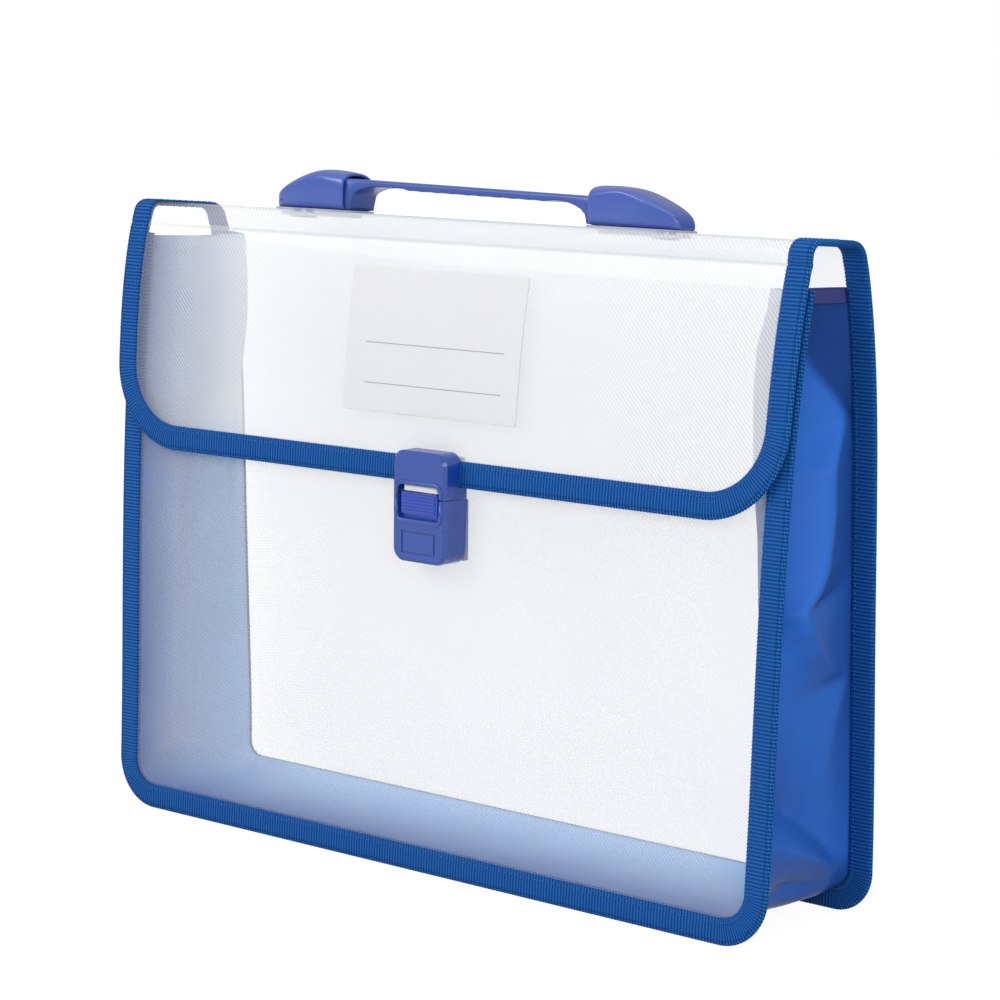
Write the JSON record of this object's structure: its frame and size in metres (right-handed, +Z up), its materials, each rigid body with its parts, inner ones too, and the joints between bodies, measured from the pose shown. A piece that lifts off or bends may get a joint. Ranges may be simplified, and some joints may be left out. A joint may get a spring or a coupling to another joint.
{
  "type": "expanding document file",
  "caption": "Upright translucent plastic document case with fabric-bound edges, film gusset, hinged top flap, top carry handle and push-button clasp.",
  "frame": {"origin": "middle of the footprint, on the plane that the case stands on", "axes": "+X along the width of the case, to the right as seen from the clasp side; -Y towards the flap and clasp; +Z up"},
  "size_m": [0.33, 0.0735, 0.2627],
  "materials": {
    "sheet": "translucent, finely ribbed",
    "tape": "woven ribbed tape",
    "film": "thin shiny film",
    "moulding": "moulded, satin gloss",
    "pad": "clear",
    "label": "plain card"
  },
  "bodies": {
    "back": {"back_panel": "sheet", "back_binding": "tape", "gusset": "film"},
    "top_band": {"top_panel": "sheet", "top_binding_left": "tape", "top_binding_right": "tape", "hood_left": "moulding", "hood_right": "moulding", "hood_pad_left": "pad", "hood_pad_right": "pad", "hood_backing_left": "moulding", "hood_backing_right": "moulding", "hood_rivets": "moulding"},
    "handle": {"handle_strap": "moulding"},
    "flap": {"flap_panel": "sheet", "flap_binding": "tape", "label_card": "label", "clasp_upper": "moulding", "clasp_upper_back": "moulding", "clasp_upper_pins": "moulding"},
    "front": {"front_panel": "sheet", "front_binding": "tape", "clasp_lower": "moulding", "clasp_lower_back": "moulding", "clasp_lower_pins": "moulding"},
    "button": {"clasp_button": "moulding"}
  },
  "joints": [
    {"name": "top_fold", "type": "hinge", "parent": "back", "child": "top_band", "pos_m": [0, 0.02315, 0.2398], "axis": [-1, 0, 0], "range_deg": [0, 110]},
    {"name": "flap_fold", "type": "hinge", "parent": "top_band", "child": "flap", "pos_m": [0, -0.01785, 0.2398], "axis": [-0.9996, -0.03, 0], "range_deg": [0, 160]},
    {"name": "handle_slide", "type": "slide", "parent": "top_band", "child": "handle", "axis": [1, 0, 0], "range_m": [-0.004, 0.004]},
    {"name": "front_squeeze", "type": "slide", "parent": "back", "child": "front", "axis": [0, 1, 0], "range_m": [0, 0.027], "deforming": ["gusset"]},
    {"name": "button_press", "type": "slide", "parent": "front", "child": "button", "axis": [0, 1, 0], "range_m": [0, 0.002], "stiffness_N_per_m": 800, "springref_m": -0.0005}
  ]
}
